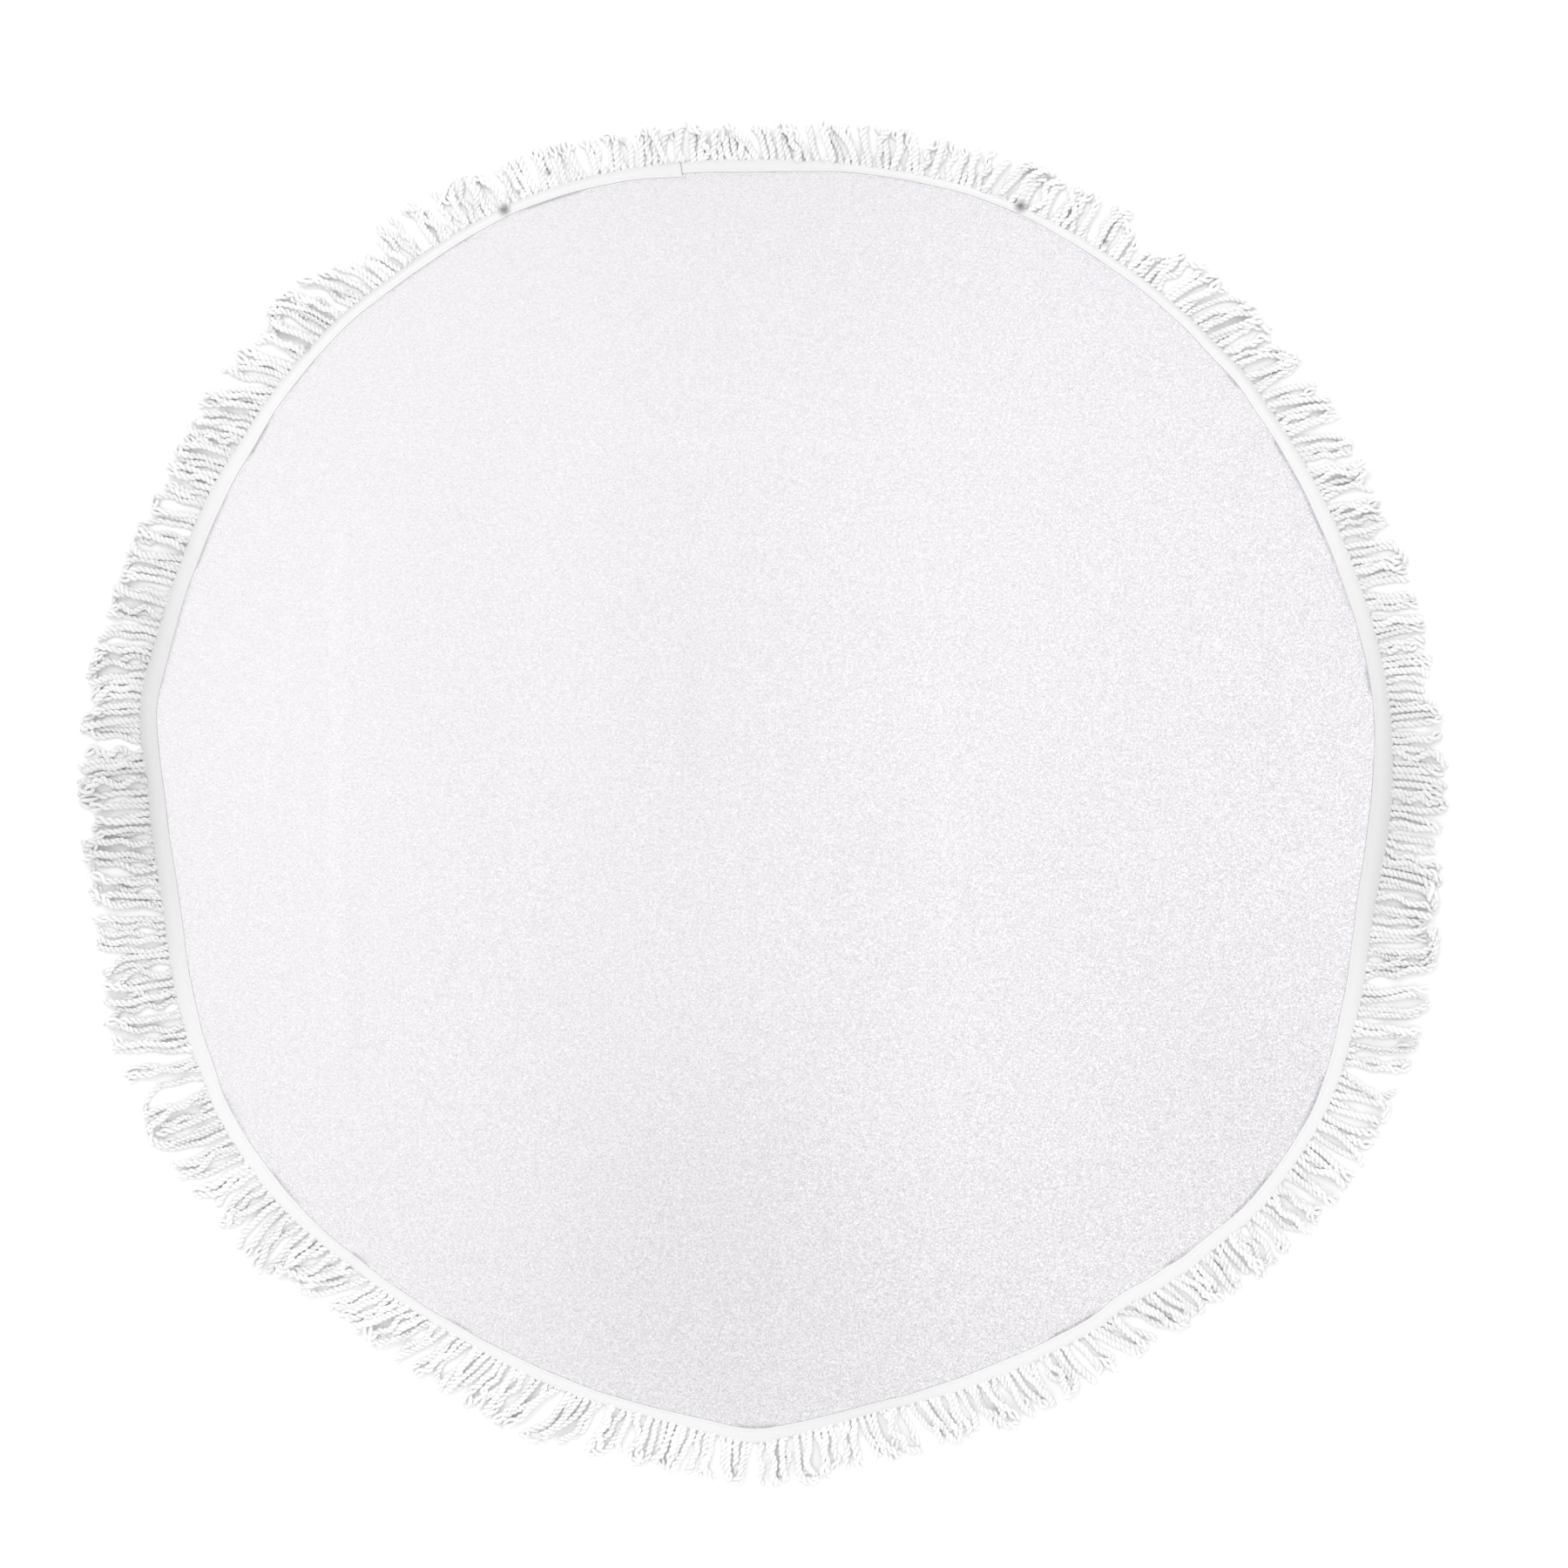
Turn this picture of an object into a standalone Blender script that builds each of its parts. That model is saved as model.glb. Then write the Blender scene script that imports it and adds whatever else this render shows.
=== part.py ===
"""Round beach towel lying flat: one terry panel and the corded fringe sewn round it.

Metres, +Z up. The origin is the middle of the underside, on the surface that the towel lies on.
+Y points to the top of the towel as it is seen from above. A bearing is an angle in degrees about
the origin, from +X towards +Y, and a reach is a distance from the origin.
"""
import math
from collections import namedtuple

import bmesh
import bpy
import numpy as np

# Driving sizes
CLOTH_THICKNESS = 0.0024
TAPE_THICKNESS = 0.0016
PIECE_GAP = 0.0003          # air between the cloth and the tape that laps over it
SEAM_LAP = 0.0065           # how far the tape laps over the cloth
STEP_CLEARANCE = 0.001      # from the cloth's hidden edge to where the tape steps down

CORD_WIDTH = 0.0048         # one twisted cord of the fringe
CORDS_IN_A_LOCK = 2         # each lock of the solid stands for two neighbouring cords
LOCK_COUNT = 270
LOCK_HEIGHT = 0.0044
LOCK_TOP_SHARE = 0.62       # width of a lock's upper face against its foot
ROOT_HEIGHT = 0.0030

JOIN_BEARING = 97.333       # where the two ends of the tape meet, between two locks
JOIN_GAP = 0.0008
JOIN_OFFSET = 0.002         # one end's inner edge lies this far inside the other's

# The rim, every ten degrees of bearing from 0. Reaches are in millimetres: of the cloth that shows,
# of the cords' roots at the tape's outer edge, and of the cords' tips. lean is the slant of the
# cords in degrees, positive where their tips swing to a higher bearing.
Rim = namedtuple("Rim", "cloth roots tips lean")
RIM = (
    Rim(665, 689, 749, -10),
    Rim(677, 695, 751, -5),
    Rim(678, 696, 749, -10),
    Rim(683, 699, 755, -18),
    Rim(689, 704, 761, -25),
    Rim(695, 708, 763, -17),
    Rim(699, 709, 761, 0),
    Rim(702, 711, 757, -6),
    Rim(697, 706, 752, 22),
    Rim(690, 704, 741, 14),
    Rim(695, 708, 750, -4),
    Rim(700, 712, 759, 6),
    Rim(696, 708, 762, 20),
    Rim(693, 706, 763, 25),
    Rim(686, 701, 758, 23),
    Rim(677, 695, 749, 18),
    Rim(671, 689, 749, 12),
    Rim(672, 692, 752, 8),
    Rim(660, 679, 750, 8),
    Rim(654, 674, 742, 0),
    Rim(665, 684, 759, -14),
    Rim(673, 689, 762, -12),
    Rim(673, 689, 755, -3),
    Rim(667, 679, 731, -27),
    Rim(663, 675, 733, -20),
    Rim(666, 680, 741, -22),
    Rim(673, 685, 736, -14),
    Rim(682, 698, 747, 0),
    Rim(669, 680, 734, 10),
    Rim(665, 680, 733, 12),
    Rim(667, 682, 733, 15),
    Rim(672, 689, 738, 20),
    Rim(685, 701, 758, -4),
    Rim(689, 704, 766, 3),
    Rim(673, 692, 760, 19),
    Rim(659, 680, 746, -4),
)

# Short places in the fringe: the bearing of the middle and half the width in degrees, and how far
# the tips draw back in millimetres.
Notch = namedtuple("Notch", "bearing half_width depth")
NOTCHES = (
    Notch(10.5, 2.5, 15),
    Notch(55.5, 3.5, 26),
    Notch(125.0, 3.0, 26),
    Notch(170.0, 2.2, 15),
    Notch(181.5, 2.2, 14),
    Notch(217.0, 2.0, 13),
    Notch(226.0, 2.5, 10),
    Notch(283.0, 2.2, 9),
    Notch(348.5, 2.2, 10),
)

# Low swells in the cloth, which run up and down the towel. middle is where the crest crosses the
# X axis and slant is how far it drifts in X for each metre of Y; all in metres but slant.
Swell = namedtuple("Swell", "middle half_width rise slant")
SWELLS = (
    Swell(-0.290, 0.400, 0.0046, 0.00),
    Swell(0.375, 0.355, 0.0042, -0.06),
)
FLAT_MIDDLE_REACH = 0.030   # the cloth touches the surface all over this disc
FULL_SWELL_REACH = 0.105    # from here out the swells have their full rise
SWELL_FADE_START = 0.70     # share of the cloth's reach where the swells begin to die away
SWELL_FADE_END = 0.96

# Rings of the cloth's mesh, as shares of the reach of the cloth that shows
CLOTH_RINGS = (0.09, 0.16, 0.26, 0.37, 0.48, 0.59, 0.70, 0.79, 0.88, 0.96)
CLOTH_COLUMNS = 90

# Stations along a lock from its root: how far along, and its width and height there against the
# full ones
Station = namedtuple("Station", "along width height")
LOCK_STATIONS = (
    Station(0.35, 1.00, 1.00),
    Station(0.78, 0.96, 1.00),
    Station(1.00, 0.55, 0.75),
)
LEAN_AT_ROOT = 0.6          # share of the lean that a lock has as it leaves the tape
LEAN_GAINED = 0.8           # share that it gains by its tip

# How much one lock differs from the next: in reach, and either way in lean and bow, in degrees
LAY_SEED = 11
SHORTEST_BY = 0.006
LEAN_SPREAD = 2.2
BOW_SPREAD = 8.0

COTTON_WHITE = (0.88, 0.87, 0.89, 1.0)
TAPE_WHITE = (0.86, 0.86, 0.86, 1.0)


def clear_scene():
    """Empty the scene of whatever objects it opened with."""
    for thing in list(bpy.data.objects):
        bpy.data.objects.remove(thing, do_unlink=True)


def cotton(name, colour, roughness):
    """A plain matt cotton finish."""
    material = bpy.data.materials.new(name)
    material.use_nodes = True
    shader = material.node_tree.nodes["Principled BSDF"]
    shader.inputs["Base Color"].default_value = colour
    shader.inputs["Roughness"].default_value = roughness
    shader.inputs["Metallic"].default_value = 0.0
    return material


def round_the_rim(values, bearing):
    """Read a rim column at any bearing, on a smooth closed curve through its rows."""
    values = np.asarray(values, float)
    place = np.mod(np.asarray(bearing, float), 360.0) * len(values) / 360.0
    row = np.floor(place).astype(int)
    t = place - row
    before, here, after, beyond = (values[(row + step) % len(values)] for step in (-1, 0, 1, 2))
    return here + 0.5 * t * (
        after - before
        + t * (2 * before - 5 * here + 4 * after - beyond
               + t * (3 * (here - after) + beyond - before))
    )


def rim_reach(column, bearing):
    """One of the rim's reaches, in metres."""
    return 0.001 * round_the_rim([getattr(row, column) for row in RIM], bearing)


def ease(value, start, end):
    """Go smoothly from 0 at start to 1 at end, along half a cosine wave."""
    return 0.5 - 0.5 * np.cos(math.pi * np.clip((value - start) / (end - start), 0, 1))


def notch_depth(bearing):
    """How far the cords' tips draw back at a bearing, in metres."""
    depth = np.zeros(len(bearing))
    for notch in NOTCHES:
        depth += 0.001 * notch.depth * (1 - ease(np.abs(bearing - notch.bearing), 0, notch.half_width))
    return depth


def at_bearing(bearing, reach, height):
    """Points of a ring: one for each bearing, at its reach and height."""
    angle = np.radians(bearing)
    reach = np.broadcast_to(reach, angle.shape)
    height = np.broadcast_to(height, angle.shape)
    return np.stack([reach * np.cos(angle), reach * np.sin(angle), height], axis=-1)


def cloth_lift(points, share_of_reach):
    """Height of the cloth's underside: raised-cosine swells that die away before the rim, and
    over the middle, where the cloth lies flat."""
    lift = np.zeros(len(points))
    for swell in SWELLS:
        off = np.abs(points[:, 0] - swell.middle - swell.slant * points[:, 1])
        lift += swell.rise * (1 - ease(off, 0, swell.half_width))
    lift *= 1 - ease(share_of_reach, SWELL_FADE_START, SWELL_FADE_END)
    return lift * ease(np.hypot(points[:, 0], points[:, 1]), FLAT_MIDDLE_REACH, FULL_SWELL_REACH)


def add_row(bm, points):
    """Add a row of vertices."""
    return [bm.verts.new(point) for point in points]


def join_rows(bm, first, second, closed=False):
    """Span two rows of equal length with quads."""
    count = len(first) if closed else len(first) - 1
    for i in range(count):
        j = (i + 1) % len(first)
        bm.faces.new((first[i], first[j], second[j], second[i]))


def finish_object(bm, name, material):
    """Turn the faces outwards and put the mesh in the scene under the piece's name."""
    bmesh.ops.recalc_face_normals(bm, faces=bm.faces)
    mesh = bpy.data.meshes.new(name)
    bm.to_mesh(mesh)
    bm.free()
    mesh.materials.append(material)
    mesh.shade_smooth()
    mesh.set_sharp_from_angle(angle=math.radians(40))
    piece = bpy.data.objects.new(name, mesh)
    bpy.context.collection.objects.link(piece)
    return piece


def make_cloth():
    """The terry panel: one sheet of even thickness over low swells, with an uneven round edge."""
    bearing = np.arange(CLOTH_COLUMNS) * 360.0 / CLOTH_COLUMNS
    shown = rim_reach("cloth", bearing)
    rings = [(FLAT_MIDDLE_REACH, 0.0)]
    rings += [(share * shown, share) for share in CLOTH_RINGS]
    rings += [(shown + SEAM_LAP, 1.0)]

    bm = bmesh.new()
    faces_below = []
    faces_above = []
    for reach, share in rings:
        ring = at_bearing(bearing, reach, 0.0)
        ring[:, 2] = cloth_lift(ring, share)
        faces_below.append(add_row(bm, ring))
        faces_above.append(add_row(bm, ring + (0, 0, CLOTH_THICKNESS)))
    for side in (faces_below, faces_above):
        bm.faces.new(side[0])
        for inner, outer in zip(side, side[1:]):
            join_rows(bm, inner, outer, closed=True)
    join_rows(bm, faces_below[-1], faces_above[-1], closed=True)
    return finish_object(bm, "towel_cloth", cotton("terry", COTTON_WHITE, 0.95))


def join_tape_sides(bm, outer, inner):
    """Span the tape between its outer row, with two vertices for each lock, and its inner row,
    with one: a triangle behind each lock and a quad behind each space."""
    bm.faces.new((outer[0], outer[1], inner[1], inner[0]))
    for lock in range(LOCK_COUNT):
        left, right = 1 + 2 * lock, 2 + 2 * lock
        bm.faces.new((outer[left], outer[right], inner[1 + lock]))
        bm.faces.new((outer[right], outer[right + 1], inner[2 + lock], inner[1 + lock]))


def grow_lock(bm, root, bearing, length, lean, bow):
    """Run one four-sided lock out from its root face, level on the surface, to a blunt tip.

    root is its four vertices: the foot's two, then the upper two. The heading turns steadily from
    most of the lean at the root to a little more than all of it at the tip, with its own bow."""
    start = (root[0].co + root[1].co) / 2
    spot = np.array(start[:2])
    done = 0.0
    ring = root
    for station in LOCK_STATIONS:
        middle = (done + station.along) / 2
        heading = math.radians(bearing + lean * (LEAN_AT_ROOT + LEAN_GAINED * middle)
                               + bow * (middle - 0.5))
        forward = np.array([math.cos(heading), math.sin(heading)])
        sideways = np.array([-forward[1], forward[0]])
        spot = spot + forward * length * (station.along - done)
        half = 0.5 * CORDS_IN_A_LOCK * CORD_WIDTH * station.width
        height = LOCK_HEIGHT * station.height
        foot = [(*(spot + side * half * sideways), 0.0) for side in (-1, 1)]
        top = [(*(spot + side * half * LOCK_TOP_SHARE * sideways), height) for side in (1, -1)]
        outer = add_row(bm, foot + top)
        join_rows(bm, ring, outer, closed=True)
        ring = outer
        done = station.along
    bm.faces.new(ring)


def make_fringe():
    """The fringe trim: a tape lapped over the cloth's edge, stepped down to the surface outside
    it, cut once where its ends meet, with the locks fused to its outer edge."""
    pitch = 360.0 / LOCK_COUNT
    first_lock = JOIN_BEARING + pitch / 2
    centres = first_lock + pitch * np.arange(LOCK_COUNT)
    root_reach = rim_reach("roots", centres)
    end_angle = math.degrees(JOIN_GAP / 2 / root_reach[0])
    ends = np.array([JOIN_BEARING + end_angle, JOIN_BEARING + 360.0 - end_angle])

    def outer_bearings(width):
        half = np.degrees(width / 2 / root_reach)
        sides = np.stack([centres - half, centres + half], axis=-1).ravel()
        return np.concatenate([ends[:1], sides, ends[1:]])

    foot_bearing = outer_bearings(CORDS_IN_A_LOCK * CORD_WIDTH)
    top_bearing = outer_bearings(CORDS_IN_A_LOCK * CORD_WIDTH * LOCK_TOP_SHARE)
    inner_bearing = np.concatenate([ends[:1], centres, ends[1:]])
    shown = rim_reach("cloth", inner_bearing)
    step = shown + SEAM_LAP + STEP_CLEARANCE
    inner_edge = shown.copy()
    inner_edge[:2] -= JOIN_OFFSET
    lap_height = CLOTH_THICKNESS + PIECE_GAP

    bm = bmesh.new()
    floor_outer = add_row(bm, at_bearing(foot_bearing, rim_reach("roots", foot_bearing), 0.0))
    top_outer = add_row(bm, at_bearing(top_bearing, rim_reach("roots", top_bearing), ROOT_HEIGHT))
    top_inner = add_row(bm, at_bearing(inner_bearing, inner_edge, lap_height + TAPE_THICKNESS))
    lap_inner = add_row(bm, at_bearing(inner_bearing, inner_edge, lap_height))
    lap_step = add_row(bm, at_bearing(inner_bearing, step, lap_height))
    floor_step = add_row(bm, at_bearing(inner_bearing, step, 0.0))
    join_tape_sides(bm, top_outer, top_inner)
    join_tape_sides(bm, floor_outer, floor_step)
    join_rows(bm, top_inner, lap_inner)
    join_rows(bm, lap_inner, lap_step)
    join_rows(bm, lap_step, floor_step)
    for end in (0, -1):
        bm.faces.new((top_outer[end], top_inner[end], lap_inner[end], lap_step[end]))
        bm.faces.new((floor_outer[end], top_outer[end], lap_step[end], floor_step[end]))
    for i in range(0, len(floor_outer), 2):
        bm.faces.new((floor_outer[i], floor_outer[i + 1], top_outer[i + 1], top_outer[i]))

    rng = np.random.default_rng(LAY_SEED)
    shortening = SHORTEST_BY * rng.uniform(0, 1, LOCK_COUNT)
    lean_change = rng.uniform(-LEAN_SPREAD, LEAN_SPREAD, LOCK_COUNT)
    bow = rng.uniform(-BOW_SPREAD, BOW_SPREAD, LOCK_COUNT)
    turned = np.mod(centres, 360.0)
    tip_reach = rim_reach("tips", turned) - notch_depth(turned) - shortening
    lean = round_the_rim([row.lean for row in RIM], turned) + lean_change
    length = (tip_reach - root_reach) / np.cos(np.radians(lean))
    for lock in range(LOCK_COUNT):
        left, right = 1 + 2 * lock, 2 + 2 * lock
        root = [floor_outer[left], floor_outer[right], top_outer[right], top_outer[left]]
        grow_lock(bm, root, turned[lock], length[lock], lean[lock], bow[lock])
    return finish_object(bm, "fringe", cotton("cotton_trim", TAPE_WHITE, 0.9))


clear_scene()
make_cloth()
make_fringe()
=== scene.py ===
"""The looks of a round white terry beach towel with a corded fringe, lying flat, seen from above.

Metres, +Z up, in the solids' own frame: the origin is the middle of the underside. A bearing is an
angle in degrees about the origin, from +X towards +Y, and a reach is a distance from the origin.
"""
import math
from collections import namedtuple

import bpy
import numpy as np
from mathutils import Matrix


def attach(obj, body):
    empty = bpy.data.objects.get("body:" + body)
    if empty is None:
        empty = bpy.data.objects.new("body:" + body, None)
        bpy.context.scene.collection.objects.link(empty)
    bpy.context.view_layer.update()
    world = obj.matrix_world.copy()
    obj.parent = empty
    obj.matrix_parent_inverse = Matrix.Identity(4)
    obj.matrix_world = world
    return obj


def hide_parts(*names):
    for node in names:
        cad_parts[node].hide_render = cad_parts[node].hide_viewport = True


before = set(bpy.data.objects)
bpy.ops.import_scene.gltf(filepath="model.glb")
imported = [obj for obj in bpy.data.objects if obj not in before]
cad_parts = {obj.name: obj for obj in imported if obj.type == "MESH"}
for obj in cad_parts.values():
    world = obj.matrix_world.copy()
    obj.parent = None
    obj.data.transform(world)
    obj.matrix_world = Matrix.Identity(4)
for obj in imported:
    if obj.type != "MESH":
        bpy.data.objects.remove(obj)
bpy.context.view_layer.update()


# The terry panel: one round cut of white cotton terry, looped on both faces and 2.4 mm thick.
# It lies flat but for two low swells and a few soft creases from its folding. Its cut edge is
# hidden under the fringe's tape, whose seam presses a furrow into the pile in places.
CLOTH_THICKNESS = 0.0024
SEAM_LAP = 0.0065
CLOTH_CELLS = 216

# The rim, every 10 degrees of bearing from 0: reach in millimetres of the shown cloth's edge, of the
# cords' roots at the tape's outer edge, and of the cords' tips
Rim = namedtuple("Rim", "cloth roots tips")
RIM = (
    Rim(665, 689, 749),
    Rim(677, 695, 751),
    Rim(678, 696, 749),
    Rim(683, 699, 755),
    Rim(689, 704, 761),
    Rim(695, 708, 763),
    Rim(699, 709, 761),
    Rim(702, 711, 757),
    Rim(697, 706, 752),
    Rim(690, 704, 741),
    Rim(695, 708, 750),
    Rim(700, 712, 759),
    Rim(696, 708, 762),
    Rim(693, 706, 763),
    Rim(686, 701, 758),
    Rim(677, 695, 749),
    Rim(671, 689, 749),
    Rim(672, 692, 752),
    Rim(660, 679, 750),
    Rim(654, 674, 742),
    Rim(665, 684, 759),
    Rim(673, 689, 762),
    Rim(673, 689, 755),
    Rim(667, 679, 731),
    Rim(663, 675, 733),
    Rim(666, 680, 741),
    Rim(673, 685, 736),
    Rim(682, 698, 747),
    Rim(669, 680, 734),
    Rim(665, 680, 733),
    Rim(667, 682, 733),
    Rim(672, 689, 738),
    Rim(685, 701, 758),
    Rim(689, 704, 766),
    Rim(673, 692, 760),
    Rim(659, 680, 746),
)

# Small kinks of the cloth's edge and the tape: bearing of the middle and half the width in degrees,
# and how far they lie out there in millimetres, below 0 for further in
Kink = namedtuple("Kink", "bearing half_width out")
KINKS = (
    Kink(41.5, 4.0, 2.2),
    Kink(126.0, 7.0, -1.6),
    Kink(145.0, 6.0, -2.0),
    Kink(166.0, 5.0, -2.2),
    Kink(180.0, 9.5, -6.0),
    Kink(189.5, 9.5, -6.5),
    Kink(199.0, 9.5, -5.5),
    Kink(206.0, 4.0, -3.0),
    Kink(269.0, 4.0, 3.5),
    Kink(306.0, 4.0, -4.0),
    Kink(312.5, 2.0, 2.0),
    Kink(321.0, 5.0, 2.6),
)

# Slow waves of the tape's inner edge round the rim: height in metres, number of waves, and phase
Wave = namedtuple("Wave", "height count phase")
EDGE_WAVES = (Wave(0.0003, 23, 0.0), Wave(0.0002, 61, 1.0))

# The tape's two ends meet at one bearing, where one of them lies a little further in. It is back in
# line a few degrees on.
JOIN_BEARING = 97.333
JOIN_OFFSET = 0.0035
JOIN_FADE = 6.0

# Rings of the panel's grid near the rim: how far outside the tape's inner edge they lie in metres,
# and their share of the furrow
Ring = namedtuple("Ring", "out furrow")
RIM_BAND = 0.016
RIM_RINGS = (
    Ring(-0.0110, 0.00),
    Ring(-0.0075, 0.00),
    Ring(-0.0050, 0.08),
    Ring(-0.0034, 0.30),
    Ring(-0.0024, 0.68),
    Ring(-0.0016, 0.95),
    Ring(-0.0009, 1.00),
    Ring(-0.0002, 1.00),
    Ring(0.0000, 0.10),
    Ring(SEAM_LAP, 0.00),
)

# The pile stands up beside the tape, save in some stretches of the rim, from start to end in degrees,
# where the seam has drawn it into a furrow. A painted shadow darkens the pile in a furrow, and grows
# between two depths.
PILE_RIDGE = 0.0012
FURROW_WAVES = 47
FURROW_WAVER = 0.15
FURROW_SHADOW = 0.15
SHADOW_START = 0.0004
SHADOW_END = 0.0014
Stretch = namedtuple("Stretch", "start end depth")
FURROWS = (
    Stretch(9.5, 13.5, 0.0016),
    Stretch(17.5, 26.0, 0.0009),
    Stretch(25.0, 30.0, 0.0015),
    Stretch(29.0, 34.0, 0.0011),
    Stretch(33.0, 36.0, 0.0017),
    Stretch(40.5, 43.5, 0.0016),
    Stretch(75.0, 80.0, 0.0002),
    Stretch(106.0, 112.5, 0.0011),
    Stretch(117.0, 126.0, 0.0005),
    Stretch(135.0, 139.0, 0.0003),
    Stretch(142.0, 146.5, 0.0015),
    Stretch(150.0, 158.0, 0.0009),
    Stretch(158.5, 169.5, 0.0006),
    Stretch(208.0, 213.5, 0.0009),
    Stretch(216.5, 221.5, 0.0012),
    Stretch(227.0, 230.0, 0.0015),
    Stretch(238.0, 242.0, 0.0009),
    Stretch(267.0, 272.0, 0.0011),
    Stretch(298.0, 303.5, 0.0013),
    Stretch(310.5, 314.0, 0.0015),
    Stretch(318.0, 324.0, 0.0014),
    Stretch(328.0, 334.5, 0.0013),
)

# Low swells that run up and down the towel: where the crest crosses the X axis, half the width and
# the rise in metres, and how far it drifts in X for each metre of Y
Swell = namedtuple("Swell", "middle half_width rise slant")
SWELLS = (
    Swell(-0.290, 0.400, 0.0046, 0.00),
    Swell(0.375, 0.355, 0.0042, -0.06),
)
FLAT_MIDDLE_REACH = 0.030
FULL_SWELL_REACH = 0.105
SWELL_FADE_START = 0.70
SWELL_FADE_END = 0.96

# Soft creases: both ends of the line in metres, half its width, and its height, below 0 for a
# trough. Each fades over a share of its length at both ends, and all fade out towards the rim.
CREASE_ENDS = 0.25
CREASE_FADE_START = 0.85
CREASE_FADE_END = 0.95
Crease = namedtuple("Crease", "x0 y0 x1 y1 half_width height")
CREASES = (
    Crease(-0.077, 0.22, -0.077, -0.02, 0.018, -0.0012),
    Crease(0.559, 0.19, 0.556, 0.00, 0.018, -0.0012),
    Crease(-0.465, 0.42, -0.470, -0.38, 0.016, 0.0010),
    Crease(0.205, 0.38, 0.200, -0.42, 0.016, 0.0010),
    Crease(-0.55, 0.389, 0.56, 0.389, 0.013, 0.0008),
    Crease(-0.448, -0.06, -0.446, -0.36, 0.014, -0.0010),
    Crease(0.176, 0.33, 0.178, 0.03, 0.014, 0.0010),
    Crease(0.195, -0.12, 0.197, -0.32, 0.014, -0.0010),
    Crease(0.404, 0.28, 0.406, 0.02, 0.014, -0.0008),
)

# Soft patches of painted shade and painted light on the cloth, standing in for its soft shading:
# middle and half widths of a patch in metres, and how much lighter the cloth is painted there, in
# hundredths
ShadePatch = namedtuple("ShadePatch", "x y half_x half_y lighter")
SHADE_PATCHES = (
    ShadePatch(-0.54, 0.05, 0.34, 0.75, 3.5),
    ShadePatch(0.20, 0.05, 0.30, 0.85, 2.0),
    ShadePatch(-0.08, 0.00, 0.26, 0.60, -1.2),
    ShadePatch(0.56, 0.05, 0.28, 0.60, 1.5),
    ShadePatch(0.36, 0.30, 0.30, 0.40, 1.5),
    ShadePatch(0.00, -0.66, 0.55, 0.40, -6.0),
    ShadePatch(-0.06, -0.43, 0.30, 0.34, -5.0),
    ShadePatch(0.00, 0.70, 0.50, 0.34, -4.0),
    ShadePatch(-0.225, 0.20, 0.10, 0.50, 1.6),
    ShadePatch(0.10, -0.12, 0.12, 0.25, -1.2),
    ShadePatch(0.54, -0.34, 0.22, 0.30, -2.8),
)

# How much lighter the pile is painted on a ridge, and darker in a trough, for each metre of
# its height: painted shade that shows the creases
CREASE_SHADE = 14.0

# How strongly the loops show: at the middle, and its rise for each metre to the right and up
GRAIN_MIDDLE = 1.26
GRAIN_RISE = (1.00, -0.74)


def round_the_rim(values, bearing):
    """Read a rim column at any bearing: a closed cubic through its evenly spaced rows, whose
    slope at each row is half the rise from the row before to the row after."""
    values = np.asarray(values, float)
    place = np.mod(np.asarray(bearing, float), 360.0) * len(values) / 360.0
    row = np.floor(place).astype(int)
    t = place - row
    before, here, after, beyond = (values[(row + step) % len(values)] for step in (-1, 0, 1, 2))
    return here + 0.5 * t * (
        after - before
        + t * (2 * before - 5 * here + 4 * after - beyond
               + t * (3 * (here - after) + beyond - before))
    )


def ease(value, start, end):
    """Go smoothly from 0 at start to 1 at end, along half a cosine wave."""
    return 0.5 - 0.5 * np.cos(math.pi * np.clip((value - start) / (end - start), 0, 1))


def bump_at(bearing, middle, half_width):
    """A raised cosine round the rim: 1 at middle and 0 from half_width degrees either side."""
    away = np.abs(np.mod(bearing - middle + 180.0, 360.0) - 180.0)
    return 1 - ease(away, 0, half_width)


def waves_at(turn, waves):
    """Sum of sine waves round the rim, each with its own height, number and phase."""
    return sum(wave.height * np.sin(turn * wave.count + wave.phase) for wave in waves)


def rim_reach(column, bearing):
    """One of the rim's reaches in metres, with the kinks added along the cloth and the tape."""
    reach = round_the_rim([getattr(row, column) for row in RIM], bearing)
    if column != "tips":
        for kink in KINKS:
            reach = reach + kink.out * bump_at(bearing, kink.bearing, kink.half_width)
    return 0.001 * reach


def cloth_lift(x, y, share_of_reach):
    """Height of the cloth's underside over the floor: raised-cosine swells that run up and down
    the towel and die away before the rim and over the middle."""
    lift = np.zeros_like(x)
    for swell in SWELLS:
        off = np.abs(x - swell.middle - swell.slant * y)
        lift += swell.rise * (1 - ease(off, 0, swell.half_width))
    lift *= 1 - ease(share_of_reach, SWELL_FADE_START, SWELL_FADE_END)
    lift *= ease(np.hypot(x, y), FLAT_MIDDLE_REACH, FULL_SWELL_REACH)
    return lift


def crease_relief(x, y):
    """Relief of the creases: across each line a raised cosine, which fades out at both ends."""
    relief = np.zeros_like(x)
    for crease in CREASES:
        along_x, along_y = crease.x1 - crease.x0, crease.y1 - crease.y0
        run = math.hypot(along_x, along_y)
        share = ((x - crease.x0) * along_x + (y - crease.y0) * along_y) / run ** 2
        off = np.abs((x - crease.x0) * along_y - (y - crease.y0) * along_x) / run
        ends = ease(share, 0, CREASE_ENDS) * (1 - ease(share, 1 - CREASE_ENDS, 1))
        relief += crease.height * ends * (1 - ease(off, 0, crease.half_width))
    return relief


def tape_inner(bearing):
    """Reach of the tape's inner edge: the rim of the shown cloth with slow waves, and one end of
    the tape set in by the join's offset, which it loses over the next few degrees."""
    past_join = np.mod(bearing - JOIN_BEARING, 360.0)
    set_in = JOIN_OFFSET * (1 - ease(past_join, 0, JOIN_FADE))
    return rim_reach("cloth", bearing) + waves_at(np.radians(bearing), EDGE_WAVES) - set_in


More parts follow.
